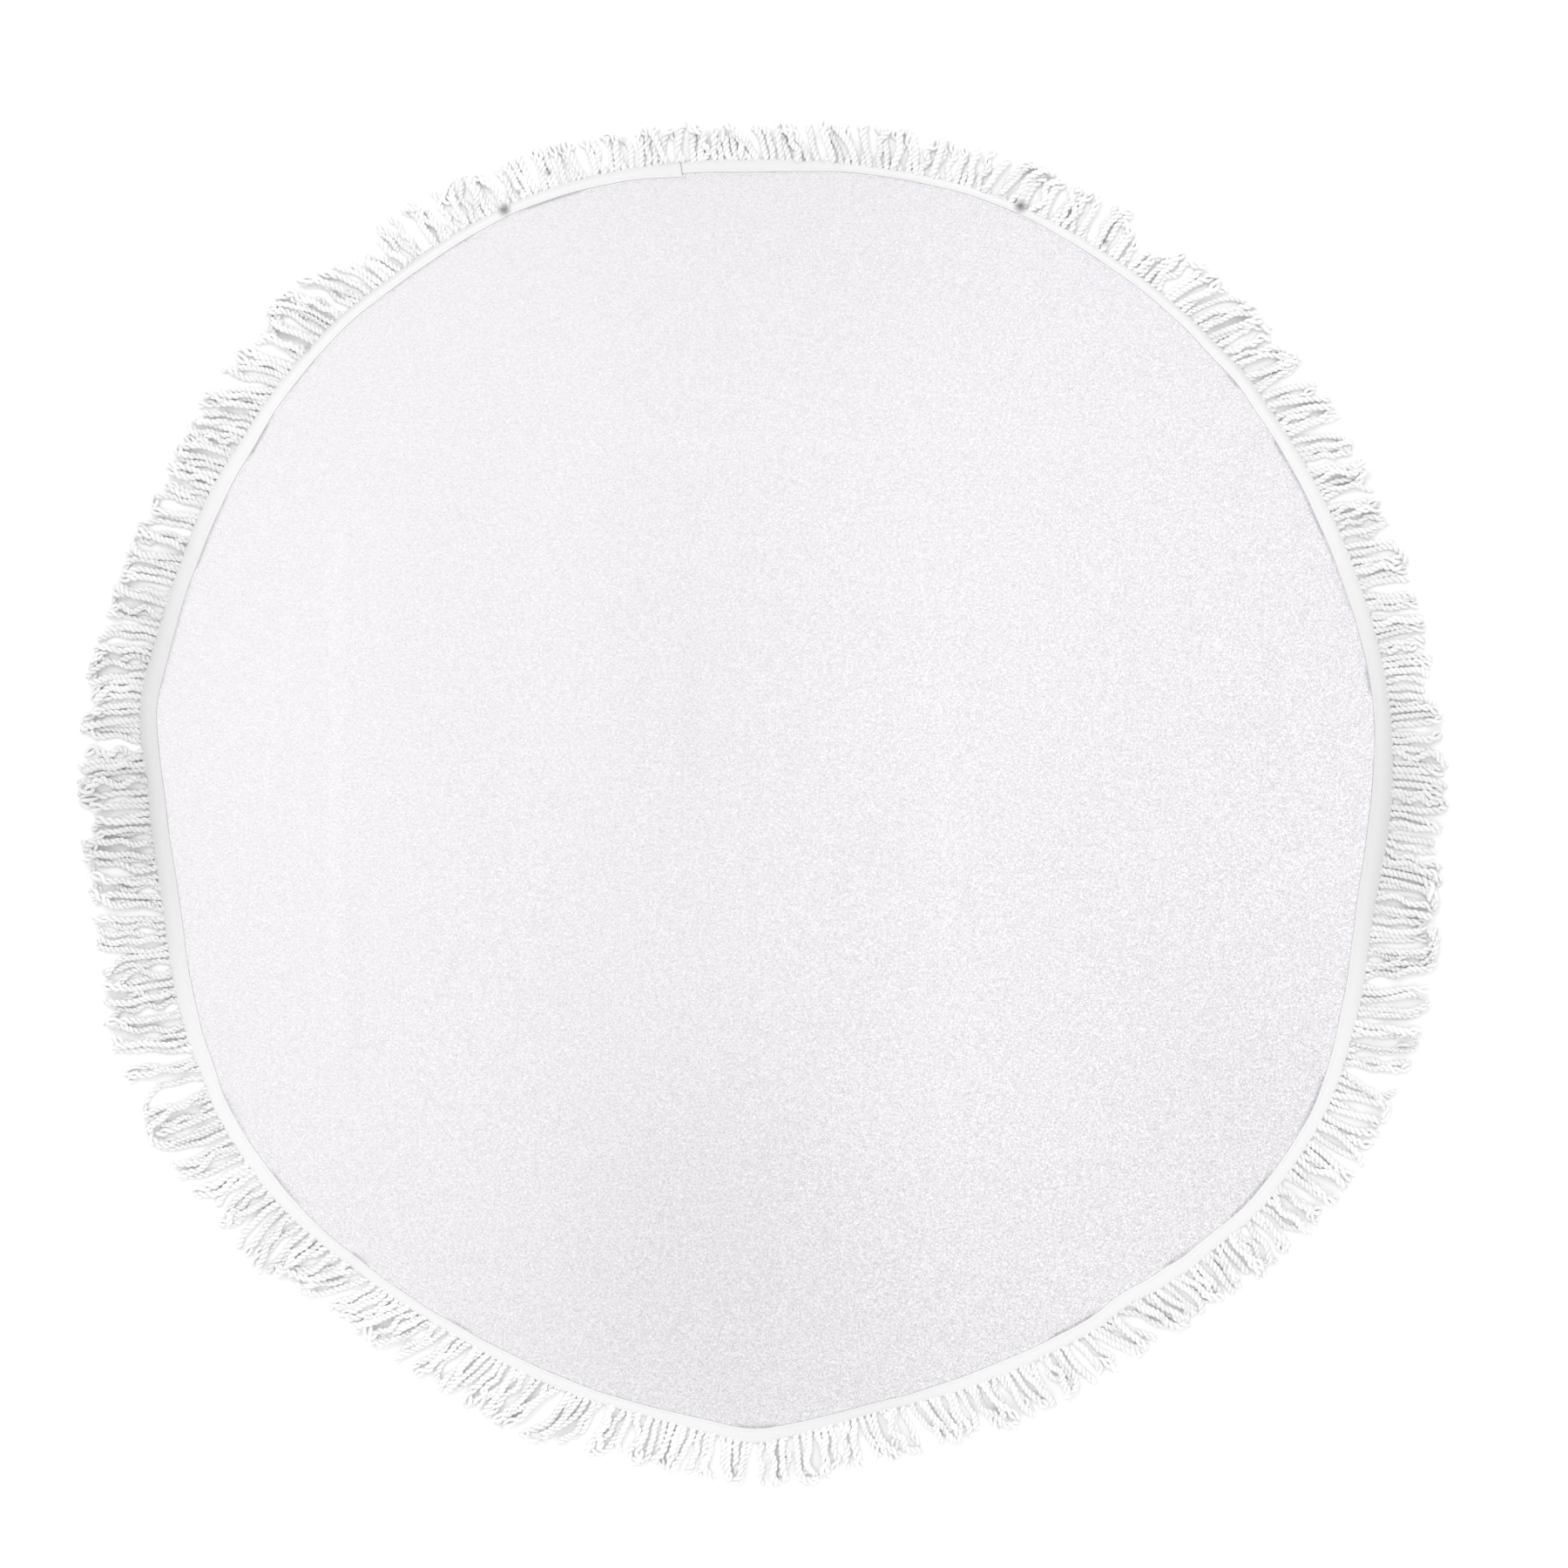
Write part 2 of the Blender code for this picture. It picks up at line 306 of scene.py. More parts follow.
def furrow_depth(bearing):
    """Depth of the pile beside the tape: a low ridge, below 0, and a furrow in the listed
    stretches, which start and end over a degree. Both waver along their length, as a sine wave."""
    depth = np.full_like(bearing, -PILE_RIDGE)
    for stretch in FURROWS:
        past_start = ease(bearing, stretch.start, stretch.start + 1)
        share = past_start * (1 - ease(bearing, stretch.end - 1, stretch.end))
        depth += (stretch.depth + PILE_RIDGE) * share
    return depth * (1 + FURROW_WAVER * np.sin(np.radians(bearing) * FURROW_WAVES))


def patch_shade(x, y):
    """How light the pile is painted: 1, plus raised cosines in both directions over the shade
    patches.
    """
    shade = np.ones_like(x)
    for patch in SHADE_PATCHES:
        across = 1 - ease(np.abs(x - patch.x), 0, patch.half_x)
        shade += 0.01 * patch.lighter * across * (1 - ease(np.abs(y - patch.y), 0, patch.half_y))
    return shade


def square_as_rings(cells):
    """A square grid wrapped into rings: the larger of the two grid steps from the middle is the
    ring's number, and the smaller over the larger, times 45 degrees, is the turn from its axis."""
    step = np.arange(cells + 1) - cells // 2
    a, b = np.meshgrid(step, step, indexing="ij")
    upright = np.abs(b) > np.abs(a)
    major, minor = np.where(upright, b, a), np.where(upright, a, b)
    turn = math.pi / 4 * minor / np.where(major == 0, 1, major)
    x = np.where(upright, np.sin(turn), np.cos(turn)) * np.sign(major)
    y = np.where(upright, np.cos(turn), np.sin(turn)) * np.sign(major)
    return np.abs(major), np.mod(np.degrees(np.arctan2(y, x)), 360)


def grid_quads(rows, columns, wrap_columns=False):
    """Quads of a grid whose vertices are numbered row by row, each in the order that faces the way
    of a row's step crossed with a column's step."""
    i = np.arange(rows - 1)[:, None]
    j = np.arange(columns if wrap_columns else columns - 1)[None, :]
    here, beside = i * columns + j, i * columns + (j + 1) % columns
    return np.stack([here, here + columns, beside + columns, beside], -1).reshape(-1, 4)


def mesh_piece(name, points, quads, caps=()):
    """A smooth-shaded mesh object from an array of points, an array of quads and some end caps."""
    corners = quads.ravel()
    sizes = np.full(len(quads), 4)
    for cap in caps:
        sizes = np.concatenate([sizes, np.full(len(cap), cap.shape[1])])
        corners = np.concatenate([corners, cap.ravel()])
    mesh = bpy.data.meshes.new(name)
    mesh.vertices.add(len(points))
    mesh.loops.add(len(corners))
    mesh.polygons.add(len(sizes))
    mesh.vertices.foreach_set("co", np.asarray(points, np.float32).ravel())
    mesh.loops.foreach_set("vertex_index", corners.astype(np.int32))
    mesh.polygons.foreach_set("loop_start", (np.cumsum(sizes) - sizes).astype(np.int32))
    mesh.polygons.foreach_set("loop_total", sizes.astype(np.int32))
    mesh.update(calc_edges=True)
    mesh.shade_smooth()
    piece = bpy.data.objects.new(name, mesh)
    bpy.context.collection.objects.link(piece)
    return piece


def keep_numbers(piece, name, values):
    """Keep one number for each point of a mesh, for its material to read by name."""
    layer = piece.data.attributes.new(name, "FLOAT", "POINT")
    layer.data.foreach_set("value", np.asarray(values, np.float32).ravel())


def make_panel():
    """The panel's upper and under faces are one grid of rings inside its outline, a thickness
    apart, on the swells and creases; a wall closes them round the cut edge."""
    ring, bearing = square_as_rings(CLOTH_CELLS)
    shown = tape_inner(bearing)
    inner_rings = CLOTH_CELLS // 2 - len(RIM_RINGS)
    into_band = np.zeros(CLOTH_CELLS // 2 + 1)
    into_band[inner_rings + 1:] = [RIM_BAND + row.out for row in RIM_RINGS]
    furrow = np.zeros(CLOTH_CELLS // 2 + 1)
    furrow[inner_rings + 1:] = [row.furrow for row in RIM_RINGS]
    reach = np.minimum(ring / inner_rings, 1) * (shown - RIM_BAND) + into_band[ring]
    x, y = reach * np.cos(np.radians(bearing)), reach * np.sin(np.radians(bearing))
    lift = cloth_lift(x, y, reach / shown)
    crease = crease_relief(x, y) * (1 - ease(reach / shown, CREASE_FADE_START, CREASE_FADE_END))
    dent = furrow[ring] * furrow_depth(bearing)
    top = lift + CLOTH_THICKNESS + crease - dent
    under = np.stack([x, y, lift + np.maximum(crease, 0)], -1).reshape(-1, 3)
    upper = np.stack([x, y, top], -1).reshape(-1, 3)

    side = CLOTH_CELLS + 1
    faces = grid_quads(side, side)
    row = np.arange(side - 1)
    edge = np.concatenate([
        row * side, (side - 1) * side + row,
        (side - 1 - row) * side + side - 1, side - 1 - row,
    ])
    after = np.roll(edge, -1)
    wall = np.stack([edge, after, after + side ** 2, edge + side ** 2], -1)
    quads = np.concatenate([faces[:, ::-1], faces + side ** 2, wall])
    piece = mesh_piece("terry_panel", np.concatenate([under, upper]), quads)
    # Painted shade for the cloth: the soft patches, a painted shadow in the furrows, and on the
    # creases lighter ridges and darker troughs
    shade = patch_shade(x, y) * (1 - FURROW_SHADOW * ease(dent, SHADOW_START, SHADOW_END))
    shade *= 1 + CREASE_SHADE * crease
    keep_numbers(piece, "shade", np.tile(shade.ravel(), 2))
    grain = GRAIN_MIDDLE + GRAIN_RISE[0] * x + GRAIN_RISE[1] * y
    keep_numbers(piece, "grain", np.tile(grain.ravel(), 2))
    return piece


def add_node(tree, kind, links=(), **settings):
    """Add a shader node, set its options and its sockets' values, and link other nodes into it."""
    node = tree.nodes.new(kind)
    for key, value in settings.items():
        if key in node.inputs:
            node.inputs[key].default_value = value
        else:
            setattr(node, key, value)
    for key, socket in dict(links).items():
        tree.links.new(socket, node.inputs[key])
    return node


def cotton_finish(name, roughness, sheen):
    """A matt cotton material: its node tree and its shader, whose fuzz is a wide soft sheen."""
    material = bpy.data.materials.new(name)
    material.use_nodes = True
    tree = material.node_tree
    shader = tree.nodes["Principled BSDF"]
    shader.inputs["Roughness"].default_value = roughness
    shader.inputs["Sheen Weight"].default_value = sheen
    shader.inputs["Sheen Roughness"].default_value = 0.6
    shader.inputs["Specular IOR Level"].default_value = 0.15
    return material, tree, shader


def two_tone(tree, factor, dark, light, start=0.0, end=1.0):
    """Go from a dark to a light colour as a factor goes from start to end."""
    ramp = tree.nodes.new("ShaderNodeValToRGB")
    ramp.color_ramp.elements[0].color = (*dark, 1)
    ramp.color_ramp.elements[1].color = (*light, 1)
    ramp.color_ramp.elements[0].position = start
    ramp.color_ramp.elements[1].position = end
    tree.links.new(factor, ramp.inputs["Fac"])
    return ramp.outputs["Color"]


def times(tree, first, second):
    """Multiply two colours."""
    mix = add_node(tree, "ShaderNodeMix", data_type="RGBA", blend_type="MULTIPLY")
    mix.inputs[0].default_value = 1.0
    tree.links.new(first, mix.inputs[6])
    tree.links.new(second, mix.inputs[7])
    return mix.outputs[2]


TERRY_SHADE = (0.735, 0.723, 0.740)
TERRY_MIDDLE = (0.818, 0.808, 0.823)
TERRY_LIGHT = (0.899, 0.890, 0.905)
TERRY_COOL = (0.989, 0.982, 0.998)
TERRY_WARM = (0.995, 0.986, 0.991)
COOLER_TO_RIGHT = 0.25


def terry_finish():
    """White terry: crinkled loops 2 to 3 mm across, in clumps where the pile lies another way,
    with a slight lavender cast that drifts over the cloth and is cooler to the right."""
    material, tree, shader = cotton_finish("terry", roughness=0.95, sheen=0.12)
    place = add_node(tree, "ShaderNodeTexCoord").outputs["Object"]
    loops = add_node(tree, "ShaderNodeTexNoise", {"Vector": place}, Scale=500.0, Detail=2.0,
                     Roughness=0.60, Distortion=0.9)
    knots = add_node(tree, "ShaderNodeTexVoronoi", {"Vector": place}, Scale=520.0)
    drift = add_node(tree, "ShaderNodeTexNoise", {"Vector": place}, Scale=7.0, Detail=3.0)
    loop_colour = two_tone(tree, loops.outputs["Fac"], TERRY_SHADE, TERRY_LIGHT, start=0.35, end=0.65)
    strength = add_node(tree, "ShaderNodeAttribute", attribute_name="grain").outputs["Fac"]
    grain = add_node(tree, "ShaderNodeMix", {0: strength}, data_type="RGBA", clamp_factor=False)
    grain.inputs[6].default_value = (*TERRY_MIDDLE, 1)
    tree.links.new(loop_colour, grain.inputs[7])
    across = add_node(tree, "ShaderNodeSeparateXYZ", {0: place}).outputs["X"]
    warmth = add_node(tree, "ShaderNodeMath", {0: across, 2: drift.outputs["Fac"]},
                      operation="MULTIPLY_ADD")
    warmth.inputs[1].default_value = -COOLER_TO_RIGHT
    cast = two_tone(tree, warmth.outputs[0], TERRY_COOL, TERRY_WARM, start=0.35, end=0.65)
    # The panel's painted shade: soft patches, painted shadow in the furrows and painted crease
    # shading
    painted_shading = add_node(tree, "ShaderNodeAttribute", attribute_name="shade").outputs["Fac"]
    colour = times(tree, times(tree, grain.outputs[2], cast), painted_shading)
    tree.links.new(colour, shader.inputs["Base Color"])
    height = add_node(tree, "ShaderNodeMath", {0: loops.outputs["Fac"], 1: knots.outputs["Distance"]},
                      operation="SUBTRACT")
    relief = add_node(tree, "ShaderNodeBump", {"Height": height.outputs[0]},
                      Strength=0.8, Distance=0.0014)
    tree.links.new(relief.outputs["Normal"], shader.inputs["Normal"])
    return material


panel = make_panel()
panel.data.materials.append(terry_finish())
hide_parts("towel_cloth")
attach(panel, "root")


# The fringe's heading: a plain woven cotton tape 15 mm wide that laps over the cloth's edge and
# steps down to the floor outside it. It goes once round, and its two ends meet near the top.
TAPE_THICKNESS = 0.0016
PIECE_GAP = 0.0003
STEP_CLEARANCE = 0.001
JOIN_GAP = 0.0004
TAPE_COLUMNS = 2160
CORD_COUNT = 540
LAP_HEIGHT = CLOTH_THICKNESS + PIECE_GAP
TAPE_TOP = LAP_HEIGHT + TAPE_THICKNESS
TAPE_PUCKERS = (Wave(0.00012, 211, 0.0), Wave(0.00010, 97, 2.0))
SCALLOP_START = 0.8
SCALLOP_REACH = 0.0006
SCALLOP_HEIGHT = 0.0004
RIB_PERIOD = 0.0013
WEFT_PERIOD = 0.0009
WAVE_TURN = math.pi / 10    # a wave texture repeats once in this distance over its scale

# The tape's outline across: where is the share of the way from its inner edge (0) to its outer
# edge (1), and height is in metres. A dip near the inner edge is where it is sewn down.
Edge = namedtuple("Edge", "where height")
SEWN_AT = 0.21
TAPE_SECTION = (
    Edge(0.97, 0.0),
    Edge(1.00, 0.0008),
    Edge(1.00, 0.0022),
    Edge(0.96, 0.0031),
    Edge(0.85, 0.0036),
    Edge(0.68, 0.0040),
    Edge(0.48, TAPE_TOP + 0.0001),
    Edge(0.30, TAPE_TOP + 0.0002),
    Edge(SEWN_AT, TAPE_TOP - 0.0004),
    Edge(0.12, TAPE_TOP + 0.0001),
    Edge(0.05, TAPE_TOP + 0.0001),
    Edge(0.01, TAPE_TOP - 0.0003),
    Edge(0.0, TAPE_TOP - 0.0008),
    Edge(0.0, LAP_HEIGHT + 0.0002),
    Edge(0.02, LAP_HEIGHT),
)

# Stretches of the rim where the tape, its outer edge besides and the cords are painted darker as
# painted shade, below 0 painted lighter: middle and half width in degrees, and how much darker each
# is there. The outer edge's share grows outwards from partway across the tape.
EDGE_SHADE_START = 0.3
ShadedStretch = namedtuple("ShadedStretch", "bearing half_width tape edge cords")
SHADED_STRETCHES = (
    ShadedStretch(1.0, 32.0, 0.13, 0.12, 0.060),
    ShadedStretch(176.0, 36.0, 0.17, 0.13, 0.090),
    ShadedStretch(278.0, 14.0, 0.04, 0.00, 0.000),
    ShadedStretch(262.0, 56.0, 0.01, -0.01, -0.045),
    ShadedStretch(180.0, 9.0, 0.00, 0.00, 0.040),
    ShadedStretch(2.0, 8.0, 0.00, 0.00, 0.030),
    ShadedStretch(92.0, 26.0, 0.07, 0.06, 0.030),
    ShadedStretch(150.0, 20.0, 0.00, 0.03, 0.040),
    ShadedStretch(45.0, 30.0, 0.00, 0.17, 0.000),
    ShadedStretch(125.0, 32.0, 0.00, 0.19, 0.000),
    ShadedStretch(20.0, 11.0, 0.00, 0.00, 0.020),
)

# Small dark spots painted on the tape and the roots of the cords where they meet: middle and radius
# in metres, and how much darker the cotton is painted at the middle
DarkSpot = namedtuple("DarkSpot", "x y radius darker")
DARK_SPOTS = (
    DarkSpot(0.282, 0.652, 0.0110, 0.70),
    DarkSpot(0.374, 0.613, 0.0065, 0.55),
    DarkSpot(-0.376, 0.609, 0.0070, 0.55),
    DarkSpot(-0.499, 0.497, 0.0060, 0.45),
    DarkSpot(-0.283, 0.648, 0.0100, 0.70),
    DarkSpot(-0.268, 0.667, 0.0050, 0.60),
    DarkSpot(-0.235, 0.689, 0.0065, 0.50),
)


def stretch_shade(part, bearing):
    """How light the tape or the cords are painted round the rim: 1, less a raised cosine for each
    stretch of painted shade."""
    shade = np.ones_like(bearing)
    for shaded in SHADED_STRETCHES:
        shade -= getattr(shaded, part) * bump_at(bearing, shaded.bearing, shaded.half_width)
    return shade


def spot_shade(x, y):
    """How light the cotton is painted near the dark spots: 1, less a raised cosine about each one's
    middle.
    """
    shade = np.ones_like(x)
    for spot in DARK_SPOTS:
        away = np.hypot(x - spot.x, y - spot.y)
        shade -= spot.darker * (1 - ease(away, 0, spot.radius))
    return shade


def add_surface_map(piece, along, across, girth=0.0):
    """A UV map in metres from each point's distance along the piece and across it. Where a face
    closes a tube of this girth, its far corners go on past the girth instead of back to 0."""
    corners = np.zeros(len(piece.data.loops), np.int32)
    piece.data.loops.foreach_get("vertex_index", corners)
    place = np.stack([along, across], -1)[corners]
    if girth:
        quads = place[:len(place) // 4 * 4, 1].reshape(-1, 4)
        closing = np.ptp(quads, axis=1) > girth / 2
        quads[closing] += girth * (quads[closing] < girth / 2)
    layer = piece.data.uv_layers.new(name="surface")
    layer.data.foreach_set("uv", place.astype(np.float32).ravel())


def make_tape():
    """The tape's section carried round the rim, open where its ends meet and closed there by end
    caps. Its top puckers a little between stitches, and its outer edge scallops over each root."""
    bearing = JOIN_BEARING + np.linspace(0, 360, TAPE_COLUMNS + 1)
    trim = np.degrees(0.5 * JOIN_GAP / rim_reach("roots", JOIN_BEARING))
    bearing[0] += trim
    bearing[-1] -= trim
    inner, outer = tape_inner(bearing), rim_reach("roots", bearing)
    step = inner + SEAM_LAP + STEP_CLEARANCE
    turn = np.radians(bearing)
    scallop = np.cos(turn * CORD_COUNT)
    pucker = waves_at(turn, TAPE_PUCKERS)

    reach, height = [], []
    for edge in TAPE_SECTION:
        at_roots = max(0.0, (edge.where - SCALLOP_START) / (1 - SCALLOP_START))
        off_floor = 1.0 if edge.height > LAP_HEIGHT else 0.0
        rise = SCALLOP_HEIGHT * min(1.0, edge.height / LAP_HEIGHT)
        reach.append(inner + (outer - inner) * edge.where + scallop * SCALLOP_REACH * at_roots)
        height.append(edge.height + pucker * off_floor + scallop * rise * at_roots)
    for step_height in (LAP_HEIGHT, 0.0):
        reach.append(step)
        height.append(np.full_like(step, step_height))
    reach = np.stack(reach, -1)
    height = np.stack(height, -1)
    points = np.stack([reach * np.cos(turn)[:, None], reach * np.sin(turn)[:, None], height], -1)
    rows, columns = reach.shape
    quads = grid_quads(rows, columns, wrap_columns=True)
    cap = np.arange(columns)[None, :]
    caps = [cap, cap[:, ::-1] + (rows - 1) * columns]
    piece = mesh_piece("fringe_tape", points.reshape(-1, 3), quads, caps)
    # Painted shade on the tape: darker in the shaded stretches and at the dark spots, and towards its
    # outer edge
    outwards = ease((reach - inner[:, None]) / (outer - inner)[:, None], EDGE_SHADE_START, 1.0)
    shade = stretch_shade("tape", bearing)[:, None] * spot_shade(points[..., 0], points[..., 1])
    shade *= 1 - (1 - stretch_shade("edge", bearing))[:, None] * outwards
    keep_numbers(piece, "shade", shade)
    add_surface_map(piece, np.repeat(turn * outer.mean(), columns), reach.ravel())
    return piece


TAPE_SHADE = (0.78, 0.78, 0.78)
TAPE_LIGHT = (0.86, 0.86, 0.86)


def tape_finish():
    """White woven cotton tape: fine ribs along its length crossed by the weft."""
    material, tree, shader = cotton_finish("tape", roughness=0.9, sheen=0.1)
    surface = add_node(tree, "ShaderNodeUVMap", uv_map="surface").outputs["UV"]
    ribs = add_node(tree, "ShaderNodeTexWave", {"Vector": surface}, bands_direction="Y",
                    Scale=WAVE_TURN / RIB_PERIOD, Distortion=0.4)
    weft = add_node(tree, "ShaderNodeTexWave", {"Vector": surface}, bands_direction="X",
                    Scale=WAVE_TURN / WEFT_PERIOD, Distortion=0.6)
    weave = add_node(tree, "ShaderNodeMath", {0: ribs.outputs["Fac"], 1: weft.outputs["Fac"]},
                     operation="MULTIPLY").outputs[0]
    shade = add_node(tree, "ShaderNodeAttribute", attribute_name="shade").outputs["Fac"]
    colour = times(tree, two_tone(tree, weave, TAPE_SHADE, TAPE_LIGHT), shade)
    tree.links.new(colour, shader.inputs["Base Color"])
    relief = add_node(tree, "ShaderNodeBump", {"Height": weave}, Strength=0.4, Distance=0.0003)
    tree.links.new(relief.outputs["Normal"], shader.inputs["Normal"])
    return material


tape = make_tape()
tape.data.materials.append(tape_finish())
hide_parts("fringe")
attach(tape, "root")


# The stitching that holds the tape down: one row of white lockstitches 3 mm inside its inner edge.
# Each stitch is a short slack of smooth thread that lies in the dip it has pulled in the tape.
STITCH_PITCH = 0.0032
STITCH_LENGTH = 0.0027
STITCH_SHOWN = 0.94         # the share of its half length before the thread dips out of sight
STITCH_SUNK = 0.0003        # how far its middle line lies under the tape's top
STITCH_SIDES = 6
STITCH_STATIONS = 4
THREAD_RADIUS = 0.00032
THREAD_TWIST = 0.0005


def tube_faces(count, stations, sides):
    """Quads and end caps of several tubes, whose points are numbered ring by ring and tube by
    tube."""
    first = stations * sides * np.arange(count)[:, None]
    tube = grid_quads(stations, sides, wrap_columns=True)
    quads = (tube[None] + first[:, :, None]).reshape(-1, 4)
    cap = np.arange(sides)[None, :] + first
    return quads, [cap, cap[:, ::-1] + (stations - 1) * sides]


def make_stitches():
    """One spindle for each stitch: rings whose radius follows a half ellipse along its length,
    laid in the tape's sewn dip, with a flat cap at both ends."""
    count = int(2 * math.pi * np.mean(rim_reach("cloth", np.arange(360.0))) / STITCH_PITCH)
    bearing = JOIN_BEARING + 360.0 * (np.arange(count) + 0.5) / count
    inner, outer = tape_inner(bearing), rim_reach("roots", bearing)
    reach = inner + (outer - inner) * SEWN_AT
    turn = np.radians(bearing)
    outward = np.stack([np.cos(turn), np.sin(turn), np.zeros(count)], -1)
    along = np.stack([-np.sin(turn), np.cos(turn), np.zeros(count)], -1)
    up = np.array([0.0, 0.0, 1.0])
    middle = reach[:, None] * outward + (TAPE_TOP - STITCH_SUNK) * up
    s = np.linspace(-STITCH_SHOWN, STITCH_SHOWN, STITCH_STATIONS)
    around = np.linspace(0, 2 * math.pi, STITCH_SIDES, endpoint=False)[:, None]
    ring = np.cos(around) * outward[:, None, :] + np.sin(around) * up
    points = (
        middle[:, None, None, :]
        + (0.5 * STITCH_LENGTH * s)[None, :, None, None] * along[:, None, None, :]
        + (THREAD_RADIUS * np.sqrt(1 - s ** 2))[None, :, None, None] * ring[:, None, :, :]
    )
    quads, caps = tube_faces(count, STITCH_STATIONS, STITCH_SIDES)
    return mesh_piece("tape_stitches", points.reshape(-1, 3), quads, caps)


def thread_finish():
    """Smooth white sewing thread, a little shinier than the cotton round it."""
    material, tree, shader = cotton_finish("sewing_thread", roughness=0.6, sheen=0.05)
    place = add_node(tree, "ShaderNodeTexCoord").outputs["Object"]
    twist = add_node(tree, "ShaderNodeTexWave", {"Vector": place}, bands_direction="DIAGONAL",
                     Scale=WAVE_TURN / THREAD_TWIST)
    colour = two_tone(tree, twist.outputs["Fac"], TAPE_SHADE, TAPE_LIGHT)
    tree.links.new(colour, shader.inputs["Base Color"])
    return material


stitches = make_stitches()
stitches.data.materials.append(thread_finish())
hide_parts("fringe")
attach(stitches, "root")


# The fringe's cords: each is two soft cotton plies twisted together, 5 mm high and up to 8 mm wide,
# held in the tape's outer edge and cut 5 to 7 cm out. They lie on the floor, lean and bunch unevenly,
# ride over one another where they cross, and curl or open a little at their cut ends.
CORD_STATIONS = 40
PLY_SIDES = 6
PLY_RADIUS = 0.0023
TWIST_RADIUS = 0.0017
TWIST_LENGTH = 0.0115
FLATTENED = 0.62
ROOT_DEPTH = 0.005
ROOT_SLIMNESS = 0.55
ROOT_SWELL = 0.0075         # a cord is full this far from the start of its root
BLUNT_LENGTH = 0.0024
BLUNT_LEAST = 0.08
REST_HEIGHT = FLATTENED * (PLY_RADIUS + TWIST_RADIUS)
LAY_SEED = 11

# How the cords were combed: their lean from straight out, in degrees, read evenly between rows
Comb = namedtuple("Comb", "bearing lean")
COMBED = (
    Comb(0, -10), Comb(10, -5), Comb(20, -10), Comb(30, -20), Comb(38, -26), Comb(48, -24),
    Comb(52, -10), Comb(62, 0), Comb(68, -10), Comb(75, 0), Comb(82, 24), Comb(90, 22),
    Comb(94, 2), Comb(98, -6), Comb(105, -2), Comb(111, 10), Comb(117, 0), Comb(126, 24),
    Comb(144, 25), Comb(150, 18), Comb(160, 12), Comb(172, 8), Comb(181, 8), Comb(186, -12),
    Comb(195, -8), Comb(204, -18), Comb(213, -8), Comb(221, 0), Comb(229, -28), Comb(236, -26),
    Comb(243, -20), Comb(254, -25), Comb(262, -8), Comb(268, 0), Comb(278, 8), Comb(287, 20),
    Comb(295, 8), Comb(301, 20), Comb(308, 30), Comb(315, -10), Comb(322, 0), Comb(335, 6),
    Comb(342, 20), Comb(347, 12), Comb(353, -8),
)

# Where the fringe is cut or worn short: bearing and half width in degrees, and how far the tips draw
# back in millimetres
Notch = namedtuple("Notch", "bearing half_width depth")
NOTCHES = (
    Notch(10.5, 2.5, 15),
    Notch(44.5, 2.5, 9),
    Notch(55.5, 3.5, 26),
    Notch(66.0, 2.0, 6),
    Notch(125.0, 3.0, 26),
    Notch(135.0, 2.0, 11),
    Notch(143.0, 2.0, 8),
    Notch(170.0, 2.2, 15),
    Notch(181.5, 2.2, 14),
    Notch(217.0, 2.0, 13),
    Notch(226.0, 2.5, 10),
    Notch(257.0, 2.5, 7),
    Notch(283.0, 2.2, 9),
    Notch(316.0, 2.0, 8),
    Notch(348.5, 2.2, 10),
    Notch(357.5, 2.0, 8),
)

# Where cords curl at their ends: bearing, half width and how far they turn, all in degrees
Curl = namedtuple("Curl", "bearing half_width turn")
CURLS = (
    Curl(10.0, 4.0, -80),
    Curl(68.0, 3.0, -70),
    Curl(98.0, 3.0, -50),
    Curl(113.0, 3.0, 60),
    Curl(168.0, 4.0, 80),
    Curl(183.0, 3.0, 60),
    Curl(188.0, 3.5, -70),
    Curl(222.0, 3.0, 40),
    Curl(258.0, 3.0, 40),
    Curl(287.0, 3.0, -40),
    Curl(346.0, 3.0, 70),
    Curl(353.0, 3.0, -60),
)

# How unevenly the cords lie. Lengths are in metres, and what spreads or turns is in degrees.
LONGEST_BY = 0.001
SHORTEST_BY = 0.007
SHORT_ONES_FEWER = 1.5      # the power that makes cords much shorter than their neighbours rarer
ROOT_SPREAD = 0.06
LEAN_SPREAD = 6.0
LEAN_AT_ROOT = 0.6          # the share of its lean that a cord has at its root, which then rises
LEAN_RISE = 0.8
BOW_SPREAD = 13.0
WAVE_SPREAD = 15.0
FEWEST_WAVES = 1.5
MOST_WAVES = 3.0
CURL_SPREAD = 16.0
STRONG_CURL_SPREAD = 70.0
STRONG_CURL_SHARE = 0.12
LEAST_CURL = 0.1
MOST_CURL = 1.2
CURL_START = 0.55
SMALLEST_BUNCH = 2
LARGEST_BUNCH = 4
MOST_GATHERED = 0.30
GATHERED_AT_ROOT = 0.4
GATHERED_RISE = 1.2
TANGLE_AT_SIDES = 0.6       # cords lie straighter at the left and right than at the top and bottom
TANGLE_RISE = 0.8
SIDES_END = 0.15            # the share of the reach up or down to which the left and right go on
TANGLE_FULL = 0.6

# How the cords ride over one another: they clear each other by the crossing height, and each is set
# against the few that follow it round the rim
CROSSING_HEIGHT = 0.0044
HIGHEST_LIFT = 0.0068
LIFT_START = 0.05
LIFT_FULL = 0.2
NEIGHBOURS = 5
HUMP_STATIONS = 3
STACKING_ROUNDS = 6

# How the plies open towards the cut end, and how cords differ in thickness and in twist
OPEN_ONES_FEWER = 1.5       # the power that makes cords with a wide open end rarer
OPENING_START = 0.45
OPENING = 1.1
UNWINDING = 0.85
THICKNESS_SPREAD = 0.07
TIGHTNESS_SPREAD = 0.10
UNDERSIDE = -0.5            # heights over a cord's middle, in rest heights, between which its
UPPER_PART = 0.45           # crevices end


def read_rows(rows, column, bearing):
    """Read a column of a table of bearings at any bearing, evenly between its rows."""
    values = [getattr(row, column) for row in rows]
    return np.interp(bearing, [row.bearing for row in rows], values, period=360)


